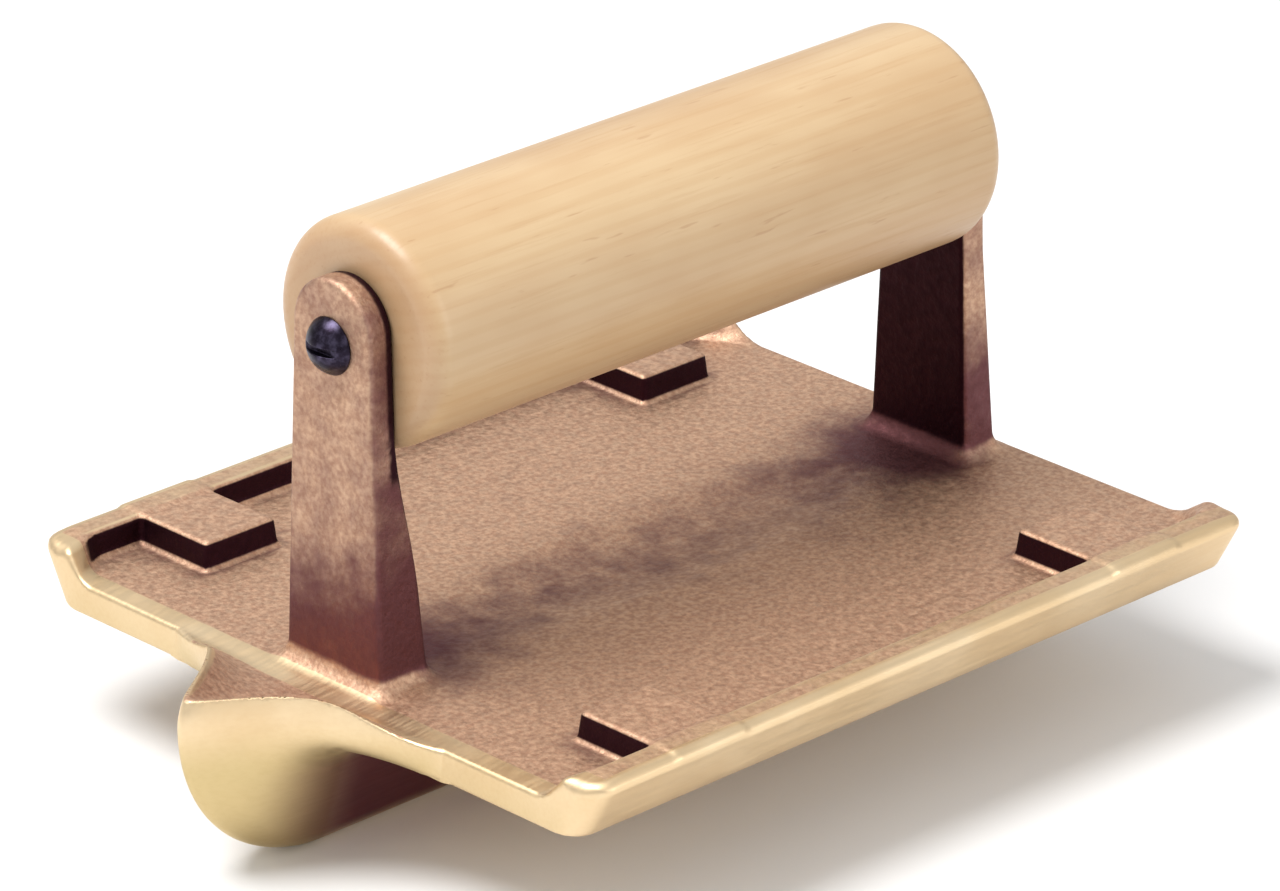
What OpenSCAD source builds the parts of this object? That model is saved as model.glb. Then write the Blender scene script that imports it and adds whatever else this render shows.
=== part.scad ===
// Hand groover: a cast bronze plate with a groove bit under it, and a wooden handle screwed between two posts.
// +X runs from the nose to the rear of the tool, +Y across it and +Z up.
// The origin is at the height of the bit's keel, under the middle of the tool's length and width.

/* [Plate] */
// Length of the plate along the tool, without the nose
plate_length = 138; // [126:1:160]
// Width over the outer faces of the side lips
plate_width = 120.4; // [110:0.2:134]
// Thickness of the plate between the lips
plate_thickness = 5.4; // [4.6:0.2:7]
// How far each side face leans in from the lip to the sole
side_lean = 4.6; // [2:0.2:6]
// Height of the side lips and pads above the plate
lip_height = 4.5; // [3.4:0.1:6]
// Width of each side lip at its foot
lip_width = 5.8; // [4:0.1:8]
// Radius of the plate's corners seen from above
corner_radius = 4; // [2:0.5:8]
// Length of each raised pad along the plate
pad_length = 13.9; // [8:0.1:20]
// How far each raised pad stands in from its lip
pad_reach = 14.5; // [8:0.5:20]
// Distance from the plate's end to its pads
pad_inset = 16.3; // [10:0.1:24]

/* [Groove bit] */
// Depth of the bit's keel below the sole
bit_depth = 19; // [14:0.5:25]
// Radius of the rounded keel
keel_radius = 4.5; // [3:0.5:6]
// Angle of the bit's flanks from vertical
flank_angle = 17; // [12:1:20]
// Radius of the fillet between the bit and the sole
root_radius = 6; // [4:0.5:8]
// How far the nose reaches in front of the plate
nose_reach = 24.5; // [20:0.5:28]
// Height of the nose's rim above the plate
nose_rise = 5.7; // [4:0.1:8]

/* [Posts] */
// Distance from each end of the plate to the post's outer face at the handle
post_inset = 5.2; // [5.2:0.1:8]
// How much thicker the front post is at its foot
front_post_lean = 4.6; // [3:0.1:6]
// How much thicker the rear post is at its foot
rear_post_lean = 2; // [0.5:0.1:2.2]
// Thickness of both posts at the handle
post_thickness = 5; // [4:0.1:6]
// Height of the posts above the plate
post_height = 62; // [58:1:66]
// Width of the posts at their rounded tops
post_top_width = 16.2; // [14:0.2:20]
// Width of the posts at their feet
post_foot_width = 20; // [18:0.5:26]

/* [Handle] */
// Diameter of the handle
handle_diameter = 35; // [30:1:38]
// Height of the handle's axis above the plate
handle_height = 52; // [50:1:54]
// Radius of the handle's rounded ends
handle_end_radius = 3.3; // [1:0.1:6]

/* [Screws] */
// Diameter of the domed screw heads
screw_head_diameter = 9; // [8:0.5:11]
// Height of the domed screw heads
screw_head_height = 3; // [2.4:0.1:4]
// Diameter of the screws
screw_diameter = 4.8; // [4:0.2:5.4]
// Length of the screws under their heads
screw_length = 32; // [25:1:45]
// Width of the screwdriver slots
slot_width = 1.2; // [0.8:0.1:1.6]

/* [Hidden] */
$fn = 48;

// Every shape is drawn with X from the plate's front end and Z from the plate's top, then placed as one.
tool_length = plate_length + nose_reach;
front_end_x = nose_reach - tool_length / 2;
plate_top_z = plate_thickness + bit_depth;

sole_z = -plate_thickness;
keel_z = -plate_thickness - bit_depth;
half_plate = plate_width / 2;
half_sole = half_plate - side_lean;
lip_inner_y = half_plate - lip_width;
overlap = 1;

// The plate's front top edge rolls down over this length and drop, between the lips.
front_roll_length = 3.9;
front_roll_drop = 1;
lip_fillet = 1.3;
lip_draft = 0.3;
lip_inner_round = 0.8;
lip_outer_round = 1.3;
sole_edge = 0.6;
pad_edge = 0.6;
pad_draft = 0.5;
pad_drop = 0.05;

// The shallow hollow between the posts, over the bit.
hollow_depth = 1.2;
hollow_width_radius = 60;
hollow_half_length = 46;

handle_radius = handle_diameter / 2;
front_post_inner_x = post_inset + post_thickness;
rear_post_inner_x = plate_length - post_inset - post_thickness;
handle_length = rear_post_inner_x - front_post_inner_x;
post_fillet = 3;
shoulder_z = handle_height - handle_radius - 1;
shoulder_depth = 2.6;
shoulder_drop = 8;

// The screws pass the posts in clearance holes and fill their own holes in the handle.
shank_clearance = 0.2;
thread_clearance = 0.05;
screw_tip_length = 6;
screw_tip_radius = 0.4;
screw_root = 0.5;
slot_depth = 1.2;

// Points of an arc about [cx, cy], from angle a0 to a1.
function arc(cx, cy, r, a0, a1, steps = 8) =
    [for (i = [0 : steps]) let (a = a0 + (a1 - a0) * i / steps) [cx + r * cos(a), cy + r * sin(a)]];
// The same outline on the other side of the middle line, in reverse order.
function mirrored(points) = [for (i = [len(points) - 1 : -1 : 0]) [-points[i][0], points[i][1]]];

// Half of the bit's section: the keel's arc, a straight flank, and a fillet that meets the sole.
keel_centre_z = keel_z + keel_radius;
flank_start = [keel_radius * cos(flank_angle), keel_centre_z - keel_radius * sin(flank_angle)];
function flank_y(z) = flank_start[0] + (z - flank_start[1]) * tan(flank_angle);
fillet_centre_z = sole_z - root_radius;
fillet_centre_y = flank_y(fillet_centre_z) + root_radius / cos(flank_angle);
bit_half = concat(
    arc(0, keel_centre_z, keel_radius, -90, -flank_angle, 10),
    arc(fillet_centre_y, fillet_centre_z, root_radius, 180 - flank_angle, 94, 10)
);
bit_root_y = bit_half[len(bit_half) - 1][0];

// Depth of the bit below the plate's top at a distance y from the middle, down to the sole outside the bit.
function bit_z(y) =
    y < flank_start[0] ? keel_centre_z - sqrt(keel_radius * keel_radius - y * y)
    : y < fillet_centre_y - root_radius * cos(flank_angle) ? flank_start[1] + (y - flank_start[0]) / tan(flank_angle)
    : y < bit_root_y
        ? fillet_centre_z + sqrt(max(0, root_radius * root_radius - (fillet_centre_y - y) * (fillet_centre_y - y)))
    : sole_z;

// The rear end of the bit stops this far short of the plate's rear end.
bit_rear_inset = 2;

// The nose is a row of lengthwise slices. Its rim runs forward to a rounded point and dies into the plate's end.
rim_share = 0.94;
rim_reach = rim_share * nose_reach;
rim_tip_round = 1;
rim_spread = 11.5;
rim_power = 1.15;
rim_fade_width = 17;
rim_fade_power = 6;
rim_start_z = -front_roll_drop;
nose_half_width = 42;
nose_inside = 2;
nose_steps = 20;
function rim_fall(y) = exp(-pow((sqrt(y * y + rim_tip_round * rim_tip_round) - rim_tip_round) / rim_spread, rim_power));
function rim_x(y) = 1 - (rim_reach + 1) * rim_fall(y);
function rim_z(y) = rim_start_z + (nose_rise - rim_start_z) / (1 + pow(y / rim_fade_width, rim_fade_power));
// The hull is a quarter oval from its fullest line, a little below the rim, down to the bit's own surface.
hull_inside = 0.1;
function hull_x(y) = rim_x(y) < 0 ? rim_x(y) / rim_share : rim_x(y);
function hull_z(y) = rim_z(y) - 0.75 * (rim_z(y) - rim_start_z) - 0.3;
function slice(y) = let (
    low = bit_z(y) + hull_inside, full = [hull_x(y), hull_z(y)], rim = [rim_x(y), rim_z(y)], deck = rim_start_z + 0.2
) concat(
    [[nose_inside, low]],
    [for (a = [90 : -10 : 0]) [full[0] * cos(a), full[1] + (low - full[1]) * sin(a)]],
    [[full[0] * 0.6 + rim[0] * 0.4, full[1] * 0.4 + rim[1] * 0.6]],
    [for (i = [0 : 6]) let (t = i / 6) [rim[0] * (1 - t) + nose_inside * t, rim[1] + (deck - rim[1]) * t * (2 - t)]]
);
nose_ys = [for (i = [-nose_steps : nose_steps]) sign(i) * nose_half_width * pow(abs(i) / nose_steps, 1.3)];

module placed() {
    translate([front_end_x, 0, plate_top_z]) children();
}

// An outline in Y and Z, drawn along X.
module along_x(x0, x1) {
    translate([x0, 0, 0]) rotate([90, 0, 90]) linear_extrude(x1 - x0) children();
}

// An outline in X and Z, drawn across Y.
module across_y(half_width) {
    rotate([90, 0, 0]) linear_extrude(2 * half_width, center = true) children();
}

// The plate's section: flat sole, leaning sides, and a lip along each side.
module plate_section() {
    side = concat(
        [[0, sole_z], [half_sole - sole_edge, sole_z], [half_sole, sole_z + sole_edge]],
        arc(half_plate - lip_outer_round, lip_height - lip_outer_round, lip_outer_round, 0, 90, 6),
        arc(lip_inner_y + lip_draft + lip_inner_round, lip_height - lip_inner_round, lip_inner_round, 90, 170, 5),
        arc(lip_inner_y - lip_fillet, lip_fillet, lip_fillet, 0, -90, 5),
        [[0, 0]]
    );
    polygon(side);
    mirror([1, 0]) polygon(side);
}

module plate() {
    half = plate_length / 2;
    intersection() {
        along_x(0, plate_length) plate_section();
        translate([half, 0, sole_z - overlap]) linear_extrude(plate_thickness + lip_height + 2 * overlap) union() {
            square([plate_length - 2 * corner_radius, plate_width + 2], center = true);
            square([plate_length + 2, plate_width - 2 * corner_radius], center = true);
            for (sx = [-1, 1], sy = [-1, 1]) {
                translate([sx * (half - corner_radius), sy * (half_plate - corner_radius)]) circle(corner_radius);
            }
        }
    }
}

// Four pads against the lips, the same height as the lips, with drafted walls.
module pads() {
    top = lip_height - pad_drop;
    inner_y = lip_inner_y - pad_reach;
    outer_y = lip_inner_y + lip_width / 2;
    for (x = [pad_inset, plate_length - pad_inset - pad_length], side = [-1, 1]) {
        intersection() {
            across_y(half_plate) polygon([
                [x - pad_draft, -overlap],
                [x, top - pad_edge],
                [x + pad_edge, top],
                [x + pad_length - pad_edge, top],
                [x + pad_length, top - pad_edge],
                [x + pad_length + pad_draft, -overlap]
            ]);
            along_x(0, plate_length) polygon([
                [side * (inner_y - pad_draft), -overlap],
                [side * inner_y, top - pad_edge],
                [side * (inner_y + pad_edge), top + pad_drop],
                [side * outer_y, top + pad_drop],
                [side * outer_y, -overlap]
            ]);
        }
    }
}

// The straight groove bit under the plate. Its rear end sweeps up to the sole in a quarter circle.
module bit() {
    sweep_radius = bit_depth + plate_thickness / 2;
    sweep_x = plate_length - bit_rear_inset - sweep_radius;
    intersection() {
        along_x(0, plate_length - overlap) polygon(concat(
            [[-bit_root_y, -overlap]],
            mirrored(bit_half),
            [for (i = [1 : len(bit_half) - 1]) bit_half[i]],
            [[bit_root_y, -overlap]]
        ));
        across_y(half_plate) polygon(concat(
            [[-overlap, 0], [-overlap, keel_z - overlap], [sweep_x, keel_z - overlap]],
            arc(sweep_x, keel_z + sweep_radius, sweep_radius, -90, 0, 12),
            [[plate_length - bit_rear_inset, 0]]
        ));
    }
}

// The nose that carries the bit up in front of the plate, with a dished deck inside its rim.
module nose() {
    slices = [for (y = nose_ys) slice(abs(y))];
    ring = len(slices[0]);
    count = len(nose_ys);
    points = [for (j = [0 : count - 1], i = [0 : ring - 1]) [slices[j][i][0], nose_ys[j], slices[j][i][1]]];
    walls = [for (j = [0 : count - 2], i = [0 : ring - 1], k = [0, 1]) let (
        a = j * ring + i, b = j * ring + (i + 1) % ring) k == 0 ? [a, b + ring, b] : [a, a + ring, b + ring]];
    first_end = [for (i = [0 : ring - 1]) i];
    last_end = [for (i = [ring - 1 : -1 : 0]) (count - 1) * ring + i];
    polyhedron(points, concat(walls, [first_end, last_end]), convexity = 6);
}

// A post seen from the end: a tapered strap with a round top and a flared foot.
module post_front() {
    top_radius = post_top_width / 2;
    foot = post_foot_width / 2;
    half = concat(
        [[0, -overlap], [foot + post_fillet, -overlap]],
        arc(foot + post_fillet, post_fillet, post_fillet, 270, 180, 5),
        arc(0, post_height - top_radius, top_radius, 3, 90, 12)
    );
    polygon(half);
    mirror([1, 0]) polygon(half);
}

// A post seen from the side. Its front face is upright; its rear face leans back to the foot.
// With a shoulder, the leaning part steps out just under the handle.
module post_side(x, lean, shoulder) {
    back = x + post_thickness;
    polygon(concat(
        [[x - post_fillet, -overlap]],
        arc(x - post_fillet, post_fillet, post_fillet, -90, 0, 5),
        [[x, post_height + overlap], [back, post_height + overlap], [back, shoulder_z]],
        shoulder > 0 ? [[back + shoulder, shoulder_z - shoulder_drop]] : [],
        arc(back + lean + post_fillet, post_fillet, post_fillet, 180, 270, 5),
        [[back + lean + post_fillet, -overlap]]
    ));
}

module post(x, lean, shoulder) {
    intersection() {
        across_y(half_plate) post_side(x, lean, shoulder);
        along_x(x - post_fillet, x + post_thickness + lean + post_fillet) post_front();
    }
}

// The rolled front edge of the plate's top, between the lips.
module front_roll() {
    across_y(lip_inner_y - lip_fillet) polygon([
        [-overlap, overlap],
        [-overlap, -front_roll_drop - 0.5],
        [0, -front_roll_drop],
        [front_roll_length * 0.4, -front_roll_drop * 0.3],
        [front_roll_length, 0],
        [front_roll_length, overlap]
    ]);
}

// A wide hollow with no hard ends: part of a ring far larger than the plate.
module plate_hollow() {
    ring_radius = hollow_half_length * hollow_half_length / (2 * hollow_depth);
    translate([plate_length / 2, 0, ring_radius - hollow_depth]) rotate([90, 0, 0])
        rotate_extrude(angle = 8, start = -94, $fn = 180) translate([ring_radius - hollow_width_radius, 0])
            circle(hollow_width_radius, $fn = 180);
}

// The clearance hole for the screw through the post whose front face is at x.
module post_hole(x) {
    translate([x - overlap, 0, handle_height]) rotate([0, 90, 0])
        cylinder(h = post_thickness + 2 * overlap, d = screw_diameter + 2 * shank_clearance);
}

module base_casting() {
    color("#c9a27e") placed() difference() {
        union() {
            difference() {
                plate();
                front_roll();
                plate_hollow();
            }
            pads();
            bit();
            nose();
            post(post_inset, front_post_lean, shoulder_depth);
            post(rear_post_inner_x, rear_post_lean, 0);
        }
        for (x = [post_inset, rear_post_inner_x]) post_hole(x);
    }
}

// A screw's body along +X, from the underside of its head at x = 0, made thicker all round by grow.
module screw_body(grow) {
    r = screw_diameter / 2 + grow;
    start = -screw_root;
    rotate([0, 90, 0]) rotate_extrude() polygon([
        [0, start],
        [r, start],
        [r, screw_length - screw_tip_length],
        [screw_tip_radius + grow, screw_length + grow],
        [0, screw_length + grow]
    ]);
}

module screw() {
    head_r = screw_head_diameter / 2;
    dome_r = (head_r * head_r + screw_head_height * screw_head_height) / (2 * screw_head_height);
    dome_a = asin(head_r / dome_r);
    difference() {
        union() {
            rotate([0, 90, 0]) rotate_extrude() polygon(concat(
                [[0, 0]],
                [for (i = [0 : 10]) let (a = dome_a * (1 - i / 10))
                    [dome_r * sin(a), dome_r - screw_head_height - dome_r * cos(a)]]
            ));
            screw_body(0);
        }
        translate([-screw_head_height - overlap, -head_r - overlap, -slot_width / 2])
            cube([slot_depth + overlap, screw_head_diameter + 2 * overlap, slot_width]);
    }
}

module handle() {
    r = handle_radius;
    e = handle_end_radius;
    color("#e6c79a") placed() translate([front_post_inner_x, 0, handle_height]) difference() {
        rotate([0, 90, 0]) rotate_extrude() polygon(concat(
            [[0, 0]],
            arc(r - e, e, e, -90, 0, 8),
            arc(r - e, handle_length - e, e, 0, 90, 8),
            [[0, handle_length]]
        ));
        translate([-post_thickness, 0, 0]) screw_body(thread_clearance);
        translate([handle_length + post_thickness, 0, 0]) mirror([1, 0, 0]) screw_body(thread_clearance);
    }
}

module front_screw() {
    color("#3a3a42") placed() translate([post_inset, 0, handle_height]) screw();
}

module rear_screw() {
    rear_face_x = rear_post_inner_x + post_thickness;
    color("#3a3a42") placed() translate([rear_face_x, 0, handle_height]) mirror([1, 0, 0]) screw();
}

base_casting();
handle();
front_screw();
rear_screw();
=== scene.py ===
"""A cast bronze hand groover with a turned wooden handle, standing on a pale floor.

The casting and the screws are modelled as distance fields, so that every edge and inside corner
has its true radius, and are turned into meshes by a surface net. The handle is a turned profile.
All finishes are procedural.
"""

import math

import bpy
import numpy as np
from mathutils import Matrix, Vector


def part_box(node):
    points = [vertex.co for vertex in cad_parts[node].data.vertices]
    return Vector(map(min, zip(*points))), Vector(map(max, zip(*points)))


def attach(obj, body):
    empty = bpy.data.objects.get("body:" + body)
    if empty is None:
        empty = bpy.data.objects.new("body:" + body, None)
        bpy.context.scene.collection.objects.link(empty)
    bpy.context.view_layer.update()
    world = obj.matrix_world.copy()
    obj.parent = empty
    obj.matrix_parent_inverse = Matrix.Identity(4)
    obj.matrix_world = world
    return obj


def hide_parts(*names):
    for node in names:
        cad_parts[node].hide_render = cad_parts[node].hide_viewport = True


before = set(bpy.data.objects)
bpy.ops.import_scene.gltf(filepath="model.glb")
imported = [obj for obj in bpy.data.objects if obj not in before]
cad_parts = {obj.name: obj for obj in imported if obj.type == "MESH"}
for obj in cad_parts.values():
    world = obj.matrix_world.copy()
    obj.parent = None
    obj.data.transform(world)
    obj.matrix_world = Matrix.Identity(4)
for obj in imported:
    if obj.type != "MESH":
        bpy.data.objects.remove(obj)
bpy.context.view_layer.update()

# ---------------------------------------------------------------- driving dimensions, in millimetres
# Fields are drawn with x from the plate's front end and z from the plate's top, like the CAD source.
MM = 0.001
NOSE_REACH = 24.5
PLATE_THICKNESS = 5.4
BIT_DEPTH = 19.0

casting_low, casting_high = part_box("base_casting")
handle_low, handle_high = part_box("handle")
front_screw_low, front_screw_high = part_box("front_screw")
ORIGIN = Vector((casting_low.x + NOSE_REACH * MM, 0, casting_low.z + (PLATE_THICKNESS + BIT_DEPTH) * MM))

PLATE_LENGTH = (casting_high.x - ORIGIN.x) / MM
HALF_WIDTH = casting_high.y / MM
POST_HEIGHT = (casting_high.z - ORIGIN.z) / MM
HANDLE_START = (handle_low.x - ORIGIN.x) / MM
HANDLE_LENGTH = (handle_high.x - handle_low.x) / MM
HANDLE_RADIUS = (handle_high.z - handle_low.z) / MM / 2
HANDLE_HEIGHT = ((handle_low.z + handle_high.z) / 2 - ORIGIN.z) / MM
HEAD_RADIUS = (front_screw_high.y - front_screw_low.y) / MM / 2
HEAD_HEIGHT = 3.0
SCREW_LENGTH = (front_screw_high.x - front_screw_low.x) / MM - HEAD_HEIGHT

SIDE_LEAN = 4.6
SIDE_TOP_Z = 3.2
LIP_HEIGHT = 4.5
LIP_WIDTH = 5.8
LIP_FILLET = 1.3
LIP_EDGE_RADIUS = 2.0
EDGE_RADIUS = 0.8
LIP_RUN = 0.3
LIP_END_LENGTH = 8.0
LIP_END_RUN = 6.4
LIP_END_FLARE = 1.9
LIP_END_DROP = 0.5
FRONT_SPREAD = 0.55
SOLE_EDGE_RADIUS = 0.8
HOLLOW_DEPTH = 1.2
HOLLOW_HALF_LENGTH = 46.0
HOLLOW_SPREAD = 120.0
CORNER_RADIUS = 4.0
PAD_INSET = 16.3
PAD_LENGTH = 13.9
PAD_REACH = 14.5
PAD_DRAFT = 0.1
KEEL_RADIUS = 4.5
FLANK_ANGLE = math.radians(17)
ROOT_RADIUS = 6.0
BIT_HALF_SPAN = 30.0
NOSE_HALF_SPAN = 33.0
NOSE_INSET_START = 24.0
NOSE_SIDE_INSET = 0.8
BIT_REAR_INSET = 2.0
BIT_REAR_RADIUS = 3.0
POST_THICKNESS = 5.0
POST_INSET = HANDLE_START - POST_THICKNESS
REAR_POST_X = HANDLE_START + HANDLE_LENGTH
POST_TOP_RADIUS = 8.1
POST_FOOT_HALF = 10.0
POST_FILLET = 3.0
POST_EDGE_RADIUS = 0.9
POST_SIDE_RADIUS = 1.0
POST_ROOT_Z = -1.0
SHOULDER_RUN = 2.6
SHOULDER_DROP = 8.0
FRONT_FOOT_LEAN = 4.6
REAR_FOOT_LEAN = 2.0
SHOULDER_Z = HANDLE_HEIGHT - HANDLE_RADIUS - 1
HOLE_RADIUS = 2.6
SOLE_Z = -PLATE_THICKNESS
KEEL_Z = SOLE_Z - BIT_DEPTH
LIP_INNER_Y = HALF_WIDTH - LIP_WIDTH


# ---------------------------------------------------------------- distance fields
def fillet(a, b, radius):
    """The union of two fields, with a fillet where they meet."""
    u = np.maximum(radius - a, 0)
    v = np.maximum(radius - b, 0)
    return np.maximum(radius, np.minimum(a, b)) - np.hypot(u, v)


def common(a, b, radius):
    """What two fields have in common, with a rounded edge."""
    u = np.maximum(radius + a, 0)
    v = np.maximum(radius + b, 0)
    return np.minimum(-radius, np.maximum(a, b)) + np.hypot(u, v)


def ramp(value, start, end):
    """0 at start and 1 at end, with a soft start and stop."""
    t = np.clip((value - start) / (end - start), 0, 1)
    return t * t * (3 - 2 * t)


def line_side(u, v, u0, v0, u1, v1):
    """Distance from the line through two points, positive on the right of its direction."""
    length = math.hypot(u1 - u0, v1 - v0)
    return ((u - u0) * (v1 - v0) - (v - v0) * (u1 - u0)) / length


def plan_field(x, y, z):
    """The plate seen from above: its ends, leaning sides and rounded corners."""
    slope = SIDE_LEAN / (SIDE_TOP_Z - SOLE_Z)
    side = (np.abs(y) - HALF_WIDTH - (z - SIDE_TOP_Z) * slope) * math.cos(math.atan(slope))
    side = common(side, np.abs(y) - HALF_WIDTH, 0.4)
    end = np.abs(x - PLATE_LENGTH / 2) - PLATE_LENGTH / 2
    return common(side, end, CORNER_RADIUS)


def bit_depth_at(y):
    """Height of the bit's underside across the tool, with its fillet into the sole."""
    y = np.abs(y)
    flank_y = KEEL_RADIUS * math.cos(FLANK_ANGLE)
    flank_z = KEEL_Z + KEEL_RADIUS - KEEL_RADIUS * math.sin(FLANK_ANGLE)
    fillet_z = SOLE_Z - ROOT_RADIUS
    fillet_y = flank_y + (fillet_z - flank_z) * math.tan(FLANK_ANGLE) + ROOT_RADIUS / math.cos(FLANK_ANGLE)
    keel = KEEL_Z + KEEL_RADIUS - np.sqrt(np.maximum(KEEL_RADIUS**2 - y**2, 0))
    straight = flank_z + (y - flank_y) / math.tan(FLANK_ANGLE)
    curved = fillet_z + np.sqrt(np.maximum(ROOT_RADIUS**2 - (fillet_y - y) ** 2, 0))
    tangent_y = fillet_y - ROOT_RADIUS * math.cos(FLANK_ANGLE)
    low = np.where(y < flank_y, keel, np.where(y < tangent_y, straight, curved))
    return np.where(y < fillet_y, low, SOLE_Z)


def bit_field(x, y, z):
    """The straight groove bit and the fillets beside it, swept up to the sole at the rear."""
    step = 0.05
    slope = (bit_depth_at(y + step) - bit_depth_at(y - step)) / (2 * step)
    section = (bit_depth_at(y) - z) / np.hypot(1, slope)
    sweep_radius = BIT_DEPTH + PLATE_THICKNESS / 2
    sweep_x = PLATE_LENGTH - BIT_REAR_INSET - sweep_radius
    sweep_z = KEEL_Z + sweep_radius
    sweep = np.hypot(np.maximum(x - sweep_x, 0), np.minimum(z - sweep_z, 0)) - sweep_radius
    rounding = np.clip((x - sweep_x) / 4, 0.01, BIT_REAR_RADIUS)
    limits = np.maximum(np.abs(y) - BIT_HALF_SPAN, -x)
    return np.maximum(common(section, sweep, rounding), limits)


DECK_START = 1.0
RIM_SHARE = 0.94
RIM_SPREAD = 11.5
RIM_POWER = 1.15
RIM_FADE = 17.0
ROLL_DROP = 0.35
ROLL_LENGTH = 3.9
NOSE_RISE = 5.7


def rim_x(y):
    """How far forward the nose's rim stands at each side, as an x."""
    fall = np.exp(-(((np.sqrt(y * y + 1) - 1) / RIM_SPREAD) ** RIM_POWER))
    return DECK_START - (RIM_SHARE * NOSE_REACH + DECK_START) * fall


def rim_z(y):
    """Height of the nose's rim."""
    return -ROLL_DROP + (NOSE_RISE + ROLL_DROP) / (1 + (y / RIM_FADE) ** 6)


def hull_shape(y, z):
    """How far forward the hull reaches at a point's height, and how far down its quarter oval it is."""
    reach = np.maximum(-rim_x(y) / RIM_SHARE, 0.01)
    rim = rim_z(y)
    full_z = rim - 0.75 * (rim + ROLL_DROP) - 0.3
    below = np.maximum(full_z - z, 0) / (full_z - bit_depth_at(y))
    above = np.maximum(z - full_z, 0) / (rim - full_z)
    lean = np.maximum(1 - (1 - RIM_SHARE) * above**2, 0.3)
    return reach * lean, below


def hull_ratio(x, y, z):
    """The nose's hull: below 0 inside a quarter oval from its fullest line down to the bit."""
    reach, below = hull_shape(y, z)
    return np.hypot(np.maximum(-x, 0) / reach, below) - 1


def nose_field(x, y, z):
    """The hull as a distance: its ratio divided by the ratio's own slope.

    High up it is also held behind its front, and at its sides it sinks into the plate's end.
    """
    near = np.nonzero(x < 4)[0]
    distance = np.full(x.shape, 50.0)
    x, y, z = x[near], y[near], z[near]
    step = 0.02
    slope = np.zeros(len(near))
    for move in ((step, 0, 0), (0, step, 0), (0, 0, step)):
        ahead = hull_ratio(x + move[0], y + move[1], z + move[2])
        behind = hull_ratio(x - move[0], y - move[1], z - move[2])
        slope += ((ahead - behind) / (2 * step)) ** 2
    hull = hull_ratio(x, y, z) / np.maximum(np.sqrt(slope), 0.02)
    reach, below = hull_shape(y, z)
    from_front = -x - reach * np.sqrt(np.clip(1 - below**2, 0, 1))
    hull = hull + ramp(below, 0.9, 0.5) * np.maximum(0.8 * from_front - hull, 0)
    limits = np.maximum(x - 3, np.abs(y) - NOSE_HALF_SPAN)
    inset = NOSE_SIDE_INSET * ramp(np.abs(y), NOSE_INSET_START, NOSE_HALF_SPAN)
    distance[near] = np.maximum(hull, limits) + inset
    return distance


def top_field(x, y, z):
    """Everything under the casting's top surface: plate, hollow, front roll, nose deck, lips and pads."""
    along_hollow = (x - PLATE_LENGTH / 2) / HOLLOW_HALF_LENGTH
    hollow = HOLLOW_DEPTH * (1 - along_hollow**2) - y * y / HOLLOW_SPREAD
    hollow = (hollow + np.sqrt(hollow * hollow + 0.01)) / 2
    roll = ROLL_DROP * ramp(x, ROLL_LENGTH, -1)
    along = np.clip((DECK_START - x) / (DECK_START - np.minimum(rim_x(y), 0)), 0, 1.3)
    deck = (rim_z(y) + ROLL_DROP) * along**2
    top = z - deck * (x < DECK_START) + hollow + roll

    from_end = np.minimum(x, PLATE_LENGTH - x)
    spread = ramp(from_end, LIP_END_LENGTH, 0) * np.where(x < PLATE_LENGTH / 2, FRONT_SPREAD, 1)
    lip_y = LIP_INNER_Y - LIP_END_FLARE * spread
    run = LIP_RUN + LIP_END_RUN * spread
    wall = (-LIP_HEIGHT * (np.abs(y) - lip_y) + run * (z - LIP_HEIGHT)) / np.hypot(LIP_HEIGHT, run)
    end_drop = LIP_END_DROP * ramp(from_end, LIP_END_LENGTH - 1, -1)
    lips = common(wall, z - LIP_HEIGHT + end_drop, 0.8)
    top = fillet(top, lips, LIP_FILLET)

    pad_x = PLATE_LENGTH / 2 - PAD_INSET - PAD_LENGTH / 2
    from_pad = np.abs(np.abs(x - PLATE_LENGTH / 2) - pad_x)
    along_x = from_pad - PAD_LENGTH / 2 + (z - LIP_HEIGHT) * PAD_DRAFT
    across = LIP_INNER_Y - PAD_REACH - np.abs(y) + (z - LIP_HEIGHT) * PAD_DRAFT
    pads = common(common(along_x, across, 0.8), z - LIP_HEIGHT + 0.05, 0.7)
    return fillet(top, pads, 0.9)


def post_field(x, y, z, start, back_side):
    """A post: a tapered strap seen from the end, between its front face at start and its back side."""
    taper = (POST_FOOT_HALF - POST_TOP_RADIUS) / (POST_HEIGHT - POST_TOP_RADIUS - POST_FILLET)
    round_z = POST_HEIGHT - POST_TOP_RADIUS
    strap = np.abs(y) - POST_TOP_RADIUS - (round_z - z) * taper
    strap = np.where(z > round_z, np.hypot(y, z - round_z) - POST_TOP_RADIUS, strap)
    post = common(common(start - x, back_side, POST_EDGE_RADIUS), strap, POST_SIDE_RADIUS)
    hole = HOLE_RADIUS - np.hypot(y, z - HANDLE_HEIGHT)
    return np.maximum(common(post, hole, 0.25), POST_ROOT_Z - z)


def front_post_field(x, y, z):
    """The front post, whose back leans out from a shoulder under the handle."""
    back = POST_INSET + POST_THICKNESS
    upright = x - back
    bend_x = back + SHOULDER_RUN
    bend_z = SHOULDER_Z - SHOULDER_DROP
    shoulder = line_side(x, z, back, SHOULDER_Z, bend_x, bend_z)
    leaning = line_side(x, z, bend_x, bend_z, back + FRONT_FOOT_LEAN, POST_FILLET)
    back_side = fillet(upright, common(-shoulder, -leaning, 3), 1.5)
    return post_field(x, y, z, POST_INSET, back_side)


def rear_post_field(x, y, z):
    """The rear post, whose back leans out slightly to its foot."""
    back = REAR_POST_X + POST_THICKNESS
    leaning = -line_side(x, z, back, SHOULDER_Z, back + REAR_FOOT_LEAN, POST_FILLET)
    back_side = np.where(z > 0, np.minimum(x - back, leaning), leaning)
    return post_field(x, y, z, REAR_POST_X, back_side)


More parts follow.
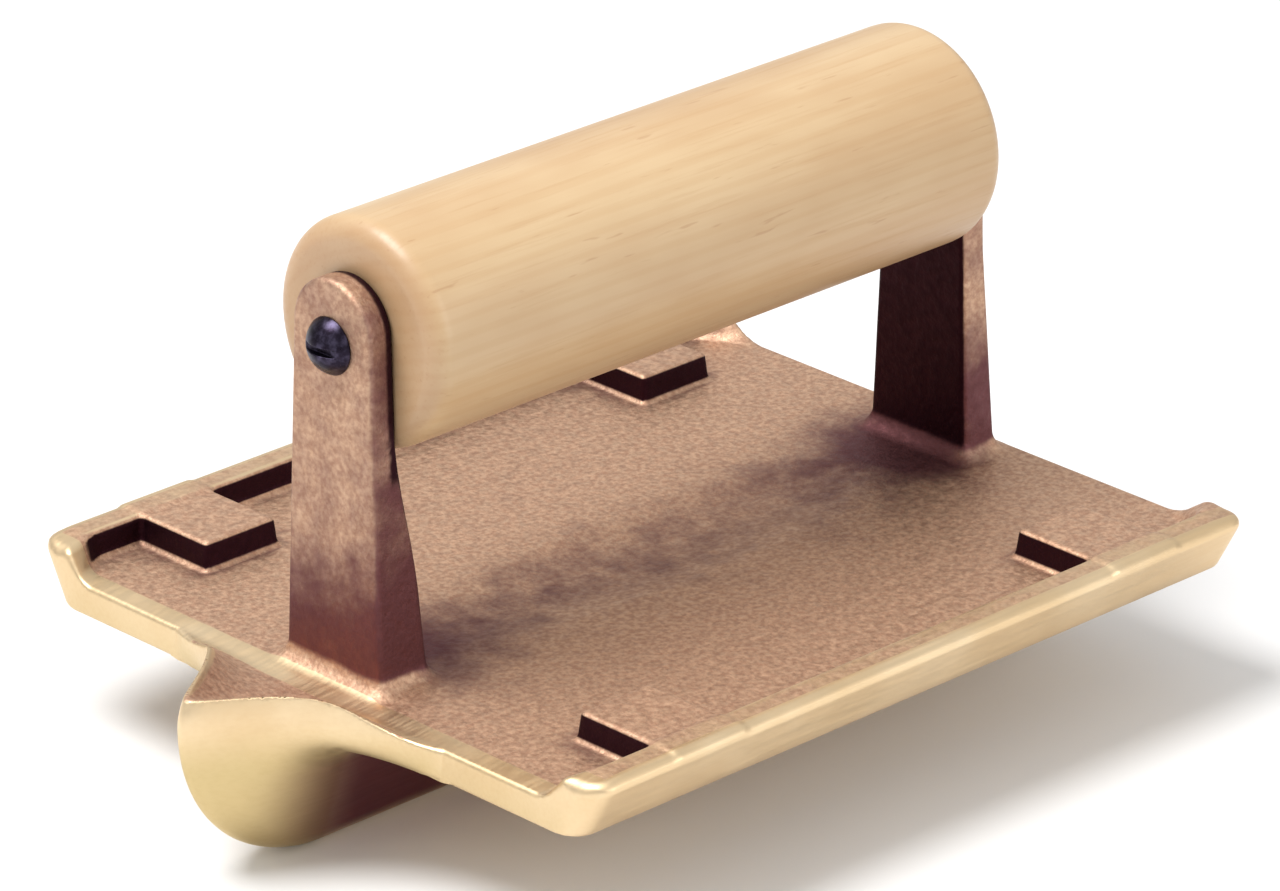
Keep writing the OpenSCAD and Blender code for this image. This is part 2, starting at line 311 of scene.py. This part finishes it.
def casting_field(x, y, z):
    """The whole casting."""
    plate = common(plan_field(x, y, z), SOLE_Z - z, SOLE_EDGE_RADIUS)
    body = np.minimum(np.minimum(plate, bit_field(x, y, z)), nose_field(x, y, z))
    edge = EDGE_RADIUS + (LIP_EDGE_RADIUS - EDGE_RADIUS) * ramp(np.abs(y), 50, 56)
    casting = common(body, top_field(x, y, z), edge)
    casting = fillet(casting, front_post_field(x, y, z), POST_FILLET)
    return fillet(casting, rear_post_field(x, y, z), POST_FILLET)


SHANK_RADIUS = 2.4
THREAD_DEPTH = 0.55
THREAD_PITCH = 1.9
THREAD_START = 8.0
TIP_LENGTH = 6.0
SLOT_WIDTH = 1.2
SLOT_DEPTH = 1.2


def screw_field(x, y, z):
    """A wood screw along +x, with the underside of its domed, slotted head at x = 0."""
    dome = (HEAD_RADIUS**2 + HEAD_HEIGHT**2) / (2 * HEAD_HEIGHT)
    round_r = np.hypot(y, z)
    head = common(np.hypot(x - (dome - HEAD_HEIGHT), round_r) - dome, x, 0.25)
    slot = common(np.abs(z) - SLOT_WIDTH / 2, x + HEAD_HEIGHT - SLOT_DEPTH, 0.15)
    head = common(head, -slot, 0.12)
    turn = np.arctan2(z, y) / (2 * math.pi)
    phase = np.abs(((x / THREAD_PITCH - turn) % 1) - 0.5) * 2
    cut = THREAD_DEPTH * ramp(phase, 0.25, 0.9) * ramp(x, THREAD_START, THREAD_START + 1.5)
    taper = (SHANK_RADIUS - 0.3) * ramp(x, SCREW_LENGTH - TIP_LENGTH, SCREW_LENGTH + 2)
    body = common(round_r - SHANK_RADIUS + cut + taper, x - SCREW_LENGTH, 0.2)
    return fillet(head, np.maximum(body, -x - 0.3), 0.3)


# ---------------------------------------------------------------- from a field to a mesh
BLOCK = 4


def grid_values(field, low, high, step):
    """Field values on a grid over a box. Blocks far from the surface only keep the field's sign."""
    blocks = np.ceil((np.array(high) - low) / (step * BLOCK)).astype(int)
    axes = [low[i] + step * BLOCK * (np.arange(blocks[i]) + 0.5) for i in range(3)]
    centres = np.stack(np.meshgrid(*axes, indexing="ij"), -1).reshape(-1, 3)
    rough = field(*centres.T).reshape(blocks)
    values = np.ones(blocks * BLOCK + 1, np.float32)
    signs = np.sign(rough)
    for axis in range(3):
        signs = signs.repeat(BLOCK, axis)
    values[:-1, :-1, :-1] = signs
    near = np.argwhere(np.abs(rough) < 6 * step)
    steps = np.arange(BLOCK + 1)
    inner = np.stack(np.meshgrid(steps, steps, steps, indexing="ij"), -1).reshape(-1, 3)
    for part in np.array_split(near, len(near) // 4000 + 1):
        cells = (part[:, None, :] * BLOCK + inner).reshape(-1, 3)
        values[tuple(cells.T)] = field(*(low + step * cells).T)
    return values


def surface_net(values, low, step):
    """One point in each cell that the surface crosses, and one face round each edge that it crosses."""
    inside = values < 0
    shape = np.array(values.shape) - 1
    count = np.zeros(shape, np.int8)
    for i, j, k in np.ndindex(2, 2, 2):
        count += inside[i : i + shape[0], j : j + shape[1], k : k + shape[2]]
    crossed = (count > 0) & (count < 8)
    cells = np.argwhere(crossed)
    index = np.full(shape, -1, np.int64)
    index[crossed] = np.arange(len(cells))
    total = np.zeros((len(cells), 3))
    hits = np.zeros((len(cells), 1))
    faces = []
    unit = np.eye(3, dtype=int)
    for axis in range(3):
        side, up = unit[(axis + 1) % 3], unit[(axis + 2) % 3]
        for start in (side * 0, side, up, side + up):
            first = values[tuple((cells + start).T)]
            second = values[tuple((cells + start + unit[axis]).T)]
            crossing = (first < 0) != (second < 0)
            share = np.where(crossing, first / np.where(crossing, first - second, 1), 0)
            total += crossing[:, None] * (start + share[:, None] * unit[axis])
            hits += crossing[:, None]
        ahead = np.roll(inside, -1, axis)
        edges = np.argwhere(inside != ahead)
        edges = edges[(edges >= side + up).all(1) & (edges < shape).all(1)]
        ring = [edges, edges - side, edges - side - up, edges - up]
        quads = np.stack([index[tuple(corner.T)] for corner in ring], 1)
        outward = inside[tuple(edges.T)]
        quads[~outward] = quads[~outward][:, ::-1]
        faces.append(quads)
    return low + step * (cells + total / hits), np.concatenate(faces)


def slope_of(field, points, reach):
    """The field's gradient at each point."""
    slope = np.empty_like(points)
    for axis in range(3):
        move = np.zeros(3)
        move[axis] = reach
        slope[:, axis] = (field(*(points + move).T) - field(*(points - move).T)) / (2 * reach)
    return slope


def onto_surface(field, points, rounds, most):
    """Moves points onto the surface, along the field's gradient."""
    for _ in range(rounds):
        slope = slope_of(field, points, 0.05)
        size = np.maximum((slope**2).sum(1), 0.1)
        move = field(*points.T) / size
        points = points - np.clip(move, -most, most)[:, None] * slope
    return points


def relaxed(points, faces, rounds, field, most):
    """Evens out the spacing of the points while they stay on the surface."""
    first = faces.ravel()
    second = np.roll(faces, -1, 1).ravel()
    ends = np.concatenate([first, second])
    others = np.concatenate([second, first])
    degree = np.bincount(ends, minlength=len(points))[:, None]
    for _ in range(rounds):
        sums = [np.bincount(ends, points[others, i], len(points)) for i in range(3)]
        points = (points + np.stack(sums, 1) / degree) / 2
        points = onto_surface(field, points, 1, most)
    return points


def new_mesh(name, points, faces):
    mesh = bpy.data.meshes.new(name)
    mesh.from_pydata(points, [], faces)
    mesh.update()
    piece = bpy.data.objects.new(name, mesh)
    bpy.context.scene.collection.objects.link(piece)
    return piece


def mesh_points(mesh):
    co = np.empty(len(mesh.vertices) * 3)
    mesh.vertices.foreach_get("co", co)
    return co.reshape(-1, 3)


def decimated(piece, most_triangles):
    """Collapses flat areas until the piece has at most that many triangles."""
    triangles = sum(len(face.vertices) - 2 for face in piece.data.polygons)
    if triangles <= most_triangles:
        return
    modifier = piece.modifiers.new("decimate", "DECIMATE")
    modifier.ratio = most_triangles / triangles
    bpy.context.view_layer.update()
    evaluated = piece.evaluated_get(bpy.context.evaluated_depsgraph_get())
    mesh = bpy.data.meshes.new_from_object(evaluated)
    piece.modifiers.remove(modifier)
    piece.data = mesh


def shade_from(piece, normals):
    """Smooth shading with the field's own normals."""
    piece.data.polygons.foreach_set("use_smooth", np.ones(len(piece.data.polygons), bool))
    piece.data.normals_split_custom_set_from_vertices(normals)


def field_piece(name, field, low, high, step, most_triangles):
    """A piece with the field's surface, in millimetres for now. Returns it with its points and normals."""
    values = grid_values(field, np.array(low), high, step)
    points, faces = surface_net(values, np.array(low), step)
    points = relaxed(points, faces, 2, field, step / 2)
    piece = new_mesh(name, points, faces)
    decimated(piece, most_triangles)
    points = onto_surface(field, mesh_points(piece.data), 3, step / 2)
    normals = slope_of(field, points, 0.04)
    normals /= np.linalg.norm(normals, axis=1)[:, None]
    piece.data.vertices.foreach_set("co", points.ravel())
    return piece, points, normals


def store(piece, name, values):
    """A value for each point that the materials read."""
    attribute = piece.data.attributes.new(name, "FLOAT", "POINT")
    attribute.data.foreach_set("value", np.asarray(values, np.float32))


def place(piece, matrix):
    """Puts a piece drawn in millimetres into the row frame, in its own vertices."""
    piece.data.transform(matrix @ Matrix.Scale(MM, 4))


# ---------------------------------------------------------------- material helpers
class Paint:
    """A node tree under construction. Arguments that are sockets are linked, and others are set."""

    def __init__(self, name):
        self.material = bpy.data.materials.new(name)
        self.material.use_nodes = True
        self.tree = self.material.node_tree
        self.shader = self.tree.nodes["Principled BSDF"]

    def put(self, socket, value):
        if isinstance(value, bpy.types.NodeSocket):
            self.tree.links.new(value, socket)
        else:
            socket.default_value = value

    def node(self, kind, inputs, settings=None):
        node = self.tree.nodes.new(kind)
        for name, value in (settings or {}).items():
            setattr(node, name, value)
        for name, value in inputs.items():
            self.put(node.inputs[name], value)
        return node

    def attribute(self, name):
        return self.node("ShaderNodeAttribute", {}, {"attribute_name": name}).outputs["Fac"]

    def place(self, scale=(1, 1, 1)):
        """Object coordinates, stretched."""
        source = self.node("ShaderNodeTexCoord", {}).outputs["Object"]
        return self.node("ShaderNodeMapping", {"Vector": source, "Scale": scale}).outputs["Vector"]

    def noise(self, vector, scale, detail=4, roughness=0.55):
        inputs = {"Vector": vector, "Scale": scale, "Detail": detail, "Roughness": roughness}
        return self.node("ShaderNodeTexNoise", inputs).outputs["Fac"]

    def math(self, operation, a, b=0.0):
        return self.node("ShaderNodeMath", {0: a, 1: b}, {"operation": operation}).outputs[0]

    def ramp(self, value, start, end, low=0.0, high=1.0):
        inputs = {"Value": value, "From Min": start, "From Max": end, "To Min": low, "To Max": high}
        return self.node("ShaderNodeMapRange", inputs, {"interpolation_type": "SMOOTHSTEP"}).outputs[0]

    def mix(self, share, a, b):
        node = self.node("ShaderNodeMix", {}, {"data_type": "RGBA"})
        self.put(node.inputs["Factor"], share)
        self.put(node.inputs[6], a)
        self.put(node.inputs[7], b)
        return node.outputs[2]

    def bump(self, height, strength, distance, normal=None):
        inputs = {"Height": height, "Strength": strength, "Distance": distance}
        if normal is not None:
            inputs["Normal"] = normal
        return self.node("ShaderNodeBump", inputs).outputs["Normal"]


def colour(red, green, blue):
    """A display colour, 0 to 255, as the linear colour that shaders take."""
    channels = [value / 255 for value in (red, green, blue)]
    linear = [c / 12.92 if c < 0.04045 else ((c + 0.055) / 1.055) ** 2.4 for c in channels]
    return (*linear, 1)


def bronze():
    """Cast bronze: a rough pinkish skin with a dark oxide in its corners, and bright where it was ground.
    Painted shade darkens parts of the plate, posts, hull and bit, and rubbed edges carry a painted
    highlight.
    """
    paint = Paint("cast_bronze")
    even = paint.place()
    cloud = paint.noise(even, 45, detail=3)
    patch = paint.noise(even, 190, detail=5)
    grain = paint.noise(even, 1100, detail=3, roughness=0.6)
    pits = paint.noise(even, 650, detail=4, roughness=0.6)
    brushed = paint.noise(paint.place(scale=(0.06, 1, 1)), 1500, detail=3)

    ground = paint.attribute("ground")
    # Convex edges are made bright: partly rubbing wear, partly a painted highlight on the rounded edges.
    worn_and_highlit = paint.math("ADD", ground, paint.math("MULTIPLY", paint.attribute("edge"), 0.85))
    worn_and_highlit = paint.math("ADD", worn_and_highlit, paint.math("MULTIPLY", paint.math("SUBTRACT", patch, 0.5), 0.35))
    bright = paint.ramp(worn_and_highlit, 0.38, 0.72)

    # Besides oxide in the hollows, this darkening carries painted shade on the plate's middle and on the
    # posts' sides.
    oxide_and_shade = paint.math("ADD", paint.attribute("stain_and_shade"), paint.attribute("cavity"))
    oxide_and_shade = paint.math("ADD", oxide_and_shade, paint.math("MULTIPLY", paint.math("SUBTRACT", patch, 0.5), 0.9))
    oxide_and_shade = paint.math("ADD", oxide_and_shade, paint.math("MULTIPLY", paint.math("SUBTRACT", cloud, 0.5), 0.7))
    oxide_and_shade = paint.ramp(oxide_and_shade, 0.08, 1.05)

    skin = paint.mix(paint.ramp(grain, 0.3, 0.7), colour(184, 146, 122), colour(214, 180, 152))
    skin = paint.mix(oxide_and_shade, skin, colour(112, 72, 74))
    ground_tone = paint.mix(paint.ramp(cloud, 0.3, 0.7), colour(228, 200, 158), colour(240, 216, 178))
    tone = paint.mix(bright, skin, ground_tone)
    # Near-black: dark patina on the bays' walls, and painted shadow on the posts' inner faces and next to
    # the handle's ends.
    wall = paint.math("ADD", paint.attribute("wall"), paint.math("MULTIPLY", pits, 0.2))
    wall = paint.ramp(wall, 0.3, 0.9)
    tone = paint.mix(wall, tone, colour(50, 25, 32))
    # Painted shade: the hull's lower part is darker and yellower.
    tone = paint.mix(paint.attribute("painted_hull_shade"), tone, colour(208, 186, 138))
    # Painted shade on the bit's flanks under the nose.
    tone = paint.mix(paint.attribute("painted_flank_shade"), tone, colour(112, 62, 70))
    paint.put(paint.shader.inputs["Base Color"], tone)
    paint.shader.inputs["Metallic"].default_value = 1.0

    rough = paint.ramp(pits, 0.3, 0.7, 0.52, 0.68)
    smooth = paint.ramp(brushed, 0.3, 0.7, 0.38, 0.5)
    split = paint.node("ShaderNodeMix", {0: bright, 2: rough, 3: smooth}).outputs[0]
    paint.put(paint.shader.inputs["Roughness"], split)

    cast_height = paint.math("ADD", paint.math("MULTIPLY", grain, 0.35), pits)
    cast_strength = paint.ramp(bright, 0, 1, 0.42, 0.05)
    normal = paint.bump(cast_height, cast_strength, 0.0005)
    normal = paint.bump(brushed, paint.ramp(bright, 0, 1, 0.0, 0.12), 0.00008, normal)
    paint.put(paint.shader.inputs["Normal"], normal)
    return paint.material


def wood():
    """Pale, lacquered maple turned from a blank whose heart lies outside the handle."""
    paint = Paint("turned_maple")
    stretched = paint.place(scale=(0.09, 1, 1))
    wander = paint.noise(stretched, 60, detail=3)
    source = paint.node("ShaderNodeTexCoord", {}).outputs["Object"]
    parts = paint.node("ShaderNodeSeparateXYZ", {0: source})
    across = paint.math("ADD", parts.outputs["Y"], 0.021)
    upward = paint.math("ADD", parts.outputs["Z"], -0.045)
    flat = paint.node("ShaderNodeCombineXYZ", {0: 0.0, 1: across, 2: upward})
    length = paint.node("ShaderNodeVectorMath", {0: flat.outputs[0]}, {"operation": "LENGTH"})
    radius = length.outputs["Value"]
    rings = paint.math("ADD", paint.math("MULTIPLY", radius, 2600), paint.math("MULTIPLY", wander, 9))
    rings = paint.math("SINE", rings)
    rings = paint.ramp(rings, -0.2, 1.0)
    fibre = paint.noise(paint.place(scale=(0.035, 1, 1)), 1300, detail=4, roughness=0.6)
    flecks = paint.noise(paint.place(scale=(0.12, 1, 1)), 900, detail=2)
    cloud = paint.noise(paint.place(scale=(0.4, 1, 1)), 55, detail=3)

    tone = paint.mix(paint.ramp(cloud, 0.3, 0.7), colour(189, 156, 116), colour(201, 173, 134))
    tone = paint.mix(paint.math("MULTIPLY", rings, 0.2), tone, colour(182, 142, 96))
    tone = paint.mix(paint.ramp(fibre, 0.52, 0.75, 0.0, 0.3), tone, colour(176, 136, 92))
    tone = paint.mix(paint.ramp(flecks, 0.66, 0.74, 0.0, 0.35), tone, colour(160, 114, 72))
    end_grain = paint.attribute("end_grain")
    tone = paint.mix(paint.math("MULTIPLY", end_grain, 0.45), tone, colour(172, 130, 96))
    paint.put(paint.shader.inputs["Base Color"], tone)
    paint.put(paint.shader.inputs["Roughness"], paint.ramp(fibre, 0.3, 0.75, 0.36, 0.5))
    paint.shader.inputs["Coat Weight"].default_value = 0.25
    paint.shader.inputs["Coat Roughness"].default_value = 0.3
    paint.put(paint.shader.inputs["Normal"], paint.bump(fibre, 0.12, 0.0002))
    return paint.material


def screw_steel():
    """Dark blued steel with a few rubbed spots."""
    paint = Paint("blued_steel")
    even = paint.place()
    patch = paint.noise(even, 700, detail=4)
    fine = paint.noise(even, 3500, detail=3)
    tone = paint.mix(paint.ramp(patch, 0.4, 0.75), colour(40, 34, 46), colour(78, 72, 92))
    paint.put(paint.shader.inputs["Base Color"], tone)
    paint.shader.inputs["Metallic"].default_value = 1.0
    paint.put(paint.shader.inputs["Roughness"], paint.ramp(patch, 0.3, 0.7, 0.26, 0.42))
    paint.put(paint.shader.inputs["Normal"], paint.bump(fine, 0.1, 0.0001))
    return paint.material


def floor_finish():
    """Plain, nearly white paper with a faint mottle."""
    paint = Paint("pale_floor")
    mottle = paint.noise(paint.place(), 6, detail=2)
    tone = paint.mix(mottle, (0.8, 0.8, 0.8, 1), (0.83, 0.83, 0.83, 1))
    paint.put(paint.shader.inputs["Base Color"], tone)
    paint.shader.inputs["Roughness"].default_value = 0.9
    return paint.material


# ---------------------------------------------------------------- the pieces
def casting_marks(points, normals):
    """Where the casting was ground bright, where its edges are rubbed and carry a painted highlight, where
    oxide stays, and where shade is painted.

    Each mark is a strength at each point, 0 where there is none, built from ramps in millimetres.
    """
    x, y, z = points.T
    side = np.abs(y)
    upward = normals[:, 2]
    on_top = ramp(upward, 0.6, 0.9) * ramp(x, 4, 6) * ramp(x, PLATE_LENGTH - 1, PLATE_LENGTH - 2)
    below = ramp(z, -0.7, -1.3) * (1 - on_top)
    outward = np.sign(y) * normals[:, 1] - normals[:, 0]
    hull = ramp(x, 1, -1) * ramp(upward, 0.8, 0.5) * ramp(outward, 0, 0.3)
    lip = ramp(side, LIP_INNER_Y - 0.4, LIP_INNER_Y + 0.6) * ramp(z, 3.4, 4.1)
    outer = ramp(side, HALF_WIDTH - 2.6, HALF_WIDTH - 1.6)
    outer = np.maximum(outer, ramp(side, 50, 52) * ramp(np.sign(y) * normals[:, 1], 0.3, 0.6))
    roll = ramp(x, ROLL_LENGTH + 0.4, ROLL_LENGTH - 0.8) * ramp(x, -2, 0)
    ground = np.maximum.reduce([below, hull, 0.5 * lip, outer, roll])

    hidden = []
    for reach in (1.2, 3.5):
        hidden.append(1 - casting_field(*(points + normals * reach).T) / reach)
    cavity = 0.8 * np.clip(np.maximum.reduce(hidden), 0, 1)
    # Convexity: rubbed edges, which also carry a painted highlight.
    edge = np.clip(1 + casting_field(*(points - normals * 1.2).T) / 1.2, 0, 1)

    in_bay = ramp(side, 34, 36) * ramp(side, 56.5, 55.5) * ramp(z, 0.1, 0.7)
    wall = in_bay * ramp(upward, 0.7, 0.4) * ramp(z, 4.5, 4.0)
    wall = wall * ramp(np.abs(x - PLATE_LENGTH / 2), 66, 63)

    # Painted shadow: the posts' inner faces, and the posts just beside the handle's ends, take the
    # near-black of the bays' walls.
    inward = np.sign(PLATE_LENGTH / 2 - x) * normals[:, 0]
    on_post = ramp(z, 1.2, 3.2) * ramp(side, 16, 13) * ramp(x, 2, 4)
    painted_inner_shadow = ramp(inward, 0.4, 0.9) * on_post
    painted_handle_shadow = on_post * ramp(z, SHOULDER_Z - 4, SHOULDER_Z)
    painted_handle_shadow = painted_handle_shadow * ramp(np.abs(x - HANDLE_START), 2.4, 1.2)
    wall = np.maximum.reduce([wall, 0.95 * painted_inner_shadow, 0.8 * painted_handle_shadow])

    # Painted shade along the plate's middle under the handle, and on the posts' side faces, most on the
    # front post. The plate round the post feet, and the posts low down, are darker towards the foot.
    centre = np.exp(-((y / 15) ** 2)) * ramp(x, 6, 30) * ramp(x, 134, 112)
    front_foot = np.exp(-(((x - HANDLE_START - 7) / 11) ** 2) - (y / 15) ** 2)
    rear_foot = 1.5 * np.exp(-(((x - REAR_POST_X + 3) / 11) ** 2) - (y / 14) ** 2)
    feet = np.maximum(front_foot, rear_foot)
    on_plate = ramp(z, 6, 1) * ramp(x, HANDLE_START, HANDLE_START + 4)
    facing_side = ramp(np.abs(normals[:, 1]), 0.5, 0.9)
    foot = ramp(z, 26, 6)
    post_stain_and_shade = 0.36 + 0.12 * ramp(z, 45, 10) + 0.6 * foot + 0.3 * facing_side * ramp(x, 120, 40)
    stain_and_shade = on_plate * (0.55 * centre + 0.75 * feet) + on_post * post_stain_and_shade

    # Painted shade: the bit's flanks, facing sideways and low down, are darkened.
    painted_flank_shade = ramp(np.abs(normals[:, 1]), 0.3, 1) * ramp(z, -3, -10) * ramp(x, -16, 6)
    return {
        "ground": ground,
        "cavity": cavity,
        "edge": edge,
        "wall": wall,
        # Darkening: painted shade on the plate's middle and the posts' sides, and darker towards the post
        # feet.
        "stain_and_shade": stain_and_shade,
        # Painted shade on the hull's lower part.
        "painted_hull_shade": hull * ramp(z, 3, -7),
        # Painted shade on the bit's flanks.
        "painted_flank_shade": painted_flank_shade,
    }


CASTING_TRIANGLES = 185000
SCREW_TRIANGLES = 60000


def make_casting(finish):
    step = 0.5
    low = (-NOSE_REACH - 1, -HALF_WIDTH - 1, KEEL_Z - 1)
    high = (PLATE_LENGTH + 1, HALF_WIDTH + 1, POST_HEIGHT + 1)
    piece, points, normals = field_piece(
        "bronze_casting", casting_field, low, high, step, CASTING_TRIANGLES
    )
    # A point may end up a few microns past a flat face, so the points are held in the CAD box.
    box_low = (-NOSE_REACH, -HALF_WIDTH, KEEL_Z)
    box_high = (PLATE_LENGTH, HALF_WIDTH, POST_HEIGHT)
    points = np.clip(points, box_low, box_high)
    piece.data.vertices.foreach_set("co", points.ravel())
    for name, values in casting_marks(points, normals).items():
        store(piece, name, values)
    place(piece, Matrix.Translation(ORIGIN))
    shade_from(piece, normals)
    piece.data.materials.append(finish)
    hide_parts("base_casting")
    return piece


HANDLE_END_RADIUS = 3.3
HANDLE_STEPS = 128


def handle_profile():
    """Half of the turned outline as (x, radius): from the bottom of the front pilot hole to the rear one."""
    bore = SHANK_RADIUS + 0.05
    depth = SCREW_LENGTH - POST_THICKNESS
    profile = [(depth, 0.3), (depth - TIP_LENGTH, bore), (0.4, bore), (0, bore + 0.4)]
    rounding = [math.radians(angle) for angle in range(0, 91, 9)]
    face = [HANDLE_RADIUS - HANDLE_END_RADIUS - 3, HANDLE_RADIUS - HANDLE_END_RADIUS - 0.4]
    profile += [(0, radius) for radius in face]
    for angle in rounding:
        profile.append(
            (
                HANDLE_END_RADIUS * (1 - math.cos(angle)),
                HANDLE_RADIUS - HANDLE_END_RADIUS * (1 - math.sin(angle)),
            )
        )
    other = [(HANDLE_LENGTH - x, radius) for x, radius in reversed(profile)]
    count = 24
    start, end = profile[-1][0], other[0][0]
    middle = [(start + (end - start) * i / count, HANDLE_RADIUS) for i in range(1, count)]
    return profile + middle + other


def make_handle(finish):
    profile = handle_profile()
    angles = [2 * math.pi * i / HANDLE_STEPS for i in range(HANDLE_STEPS)]
    points = [(x, r * math.cos(a), r * math.sin(a)) for x, r in profile for a in angles]
    faces = []
    for row in range(len(profile) - 1):
        for i in range(HANDLE_STEPS):
            after = (i + 1) % HANDLE_STEPS
            here, there = row * HANDLE_STEPS, (row + 1) * HANDLE_STEPS
            faces.append((here + i, here + after, there + after, there + i))
    last = (len(profile) - 1) * HANDLE_STEPS
    faces.append(tuple(reversed(range(HANDLE_STEPS))))
    faces.append(tuple(range(last, last + HANDLE_STEPS)))
    piece = new_mesh("wooden_handle", points, faces)
    rows = np.repeat(np.array(profile)[:, 0], HANDLE_STEPS)
    from_end = np.minimum(rows, HANDLE_LENGTH - rows)
    store(piece, "end_grain", ramp(from_end, 2.5, 0))
    place(piece, Matrix.Translation(ORIGIN + Vector((HANDLE_START, 0, HANDLE_HEIGHT)) * MM))
    for face in piece.data.polygons:
        face.use_smooth = True
    piece.data.materials.append(finish)
    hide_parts("handle")
    return piece


def make_screw(name, node, face_x, turn, finish):
    """A screw whose head rests on the post's face at face_x. The rear one is turned half round."""
    step = 0.16
    reach = HEAD_RADIUS + 0.5
    low = (-HEAD_HEIGHT - 0.5, -reach, -reach)
    high = (SCREW_LENGTH + 0.5, reach, reach)
    piece, points, normals = field_piece(name, screw_field, low, high, step, SCREW_TRIANGLES)
    spin = Matrix.Rotation(turn, 4, "Z")
    place(piece, Matrix.Translation(ORIGIN + Vector((face_x, 0, HANDLE_HEIGHT)) * MM) @ spin)
    shade_from(piece, normals @ np.array(spin.to_3x3()).T)
    piece.data.materials.append(finish)
    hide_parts(node)
    return piece


# ---------------------------------------------------------------- the studio
def make_floor():
    """A wide sheet that curves up far behind the tool on every side."""
    rings = 40
    around = 64
    points = [(0, 0, 0)]
    for ring in range(1, rings + 1):
        radius = 6 * (ring / rings) ** 2
        height = 0.5 * max(0, radius - 4) ** 2
        for i in range(around):
            angle = 2 * math.pi * i / around
            points.append((radius * math.cos(angle), radius * math.sin(angle), height))
    faces = [(0, 1 + i, 1 + (i + 1) % around) for i in range(around)]
    for ring in range(rings - 1):
        for i in range(around):
            after = (i + 1) % around
            here, there = 1 + ring * around, 1 + (ring + 1) * around
            faces.append((here + i, there + i, there + after, here + after))
    floor = new_mesh("floor", points, faces)
    floor.data.materials.append(floor_finish())


WORLD_STRENGTH = 0.72
KEY_OFFSET = Vector((-0.4, 0.2, 1.0))
KEY_SIZE = 0.6
KEY_POWER = 12
FILL_OFFSET = Vector((0.3, -1.1, 0.4))
FILL_SIZE = 0.9
FILL_POWER = 4


def soft_light(name, position, target, size, power):
    light = bpy.data.lights.new(name, "AREA")
    light.shape = "DISK"
    light.size = size
    light.energy = power
    lamp = bpy.data.objects.new(name, light)
    bpy.context.scene.collection.objects.link(lamp)
    lamp.location = position
    lamp.rotation_euler = (Vector(target) - Vector(position)).to_track_quat("-Z", "Y").to_euler()


def make_lights(centre):
    world = bpy.data.worlds.new("studio")
    world.use_nodes = True
    background = world.node_tree.nodes["Background"]
    background.inputs["Color"].default_value = (1, 1, 1, 1)
    background.inputs["Strength"].default_value = WORLD_STRENGTH
    bpy.context.scene.world = world
    soft_light("key", centre + KEY_OFFSET, centre, KEY_SIZE, KEY_POWER)
    soft_light("fill", centre + FILL_OFFSET, centre, FILL_SIZE, FILL_POWER)


AZIMUTH = math.radians(-44.79)
ELEVATION = math.radians(23.82)
ROLL = math.radians(0.48)
DISTANCE = 1.1973
LENS = 225.26
AIM_LEFT = 0.00104
AIM_UP = 0.0031


def make_camera(centre):
    """The camera stands off from the tool's middle, and aims a little above and left of it."""
    data = bpy.data.cameras.new("camera")
    data.lens = LENS
    data.sensor_width = 36
    data.clip_end = 50
    camera = bpy.data.objects.new("camera", data)
    bpy.context.scene.collection.objects.link(camera)
    level = math.cos(ELEVATION)
    away = Vector((math.sin(AZIMUTH) * level, -math.cos(AZIMUTH) * level, math.sin(ELEVATION)))
    right = Vector((math.cos(AZIMUTH), math.sin(AZIMUTH), 0))
    up = away.cross(right)
    aim = centre - right * AIM_LEFT + up * AIM_UP
    camera.location = centre + away * DISTANCE
    facing = (aim - camera.location).to_track_quat("-Z", "Y").to_matrix().to_4x4()
    camera.rotation_euler = (facing @ Matrix.Rotation(ROLL, 4, "Z")).to_euler()
    bpy.context.scene.camera = camera


pieces = [make_casting(bronze()), make_handle(wood())]
steel = screw_steel()
pieces.append(make_screw("front_screw_detail", "front_screw", POST_INSET, 0, steel))
pieces.append(make_screw("rear_screw_detail", "rear_screw", REAR_POST_X + POST_THICKNESS, math.pi, steel))
for piece in pieces:
    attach(piece, "root")

middle = Vector((0.01225, 0, 0.0382))  # the point that the lights and the camera stand round
make_floor()
make_lights(middle)
make_camera(middle)
bpy.context.scene.view_settings.view_transform = "Standard"
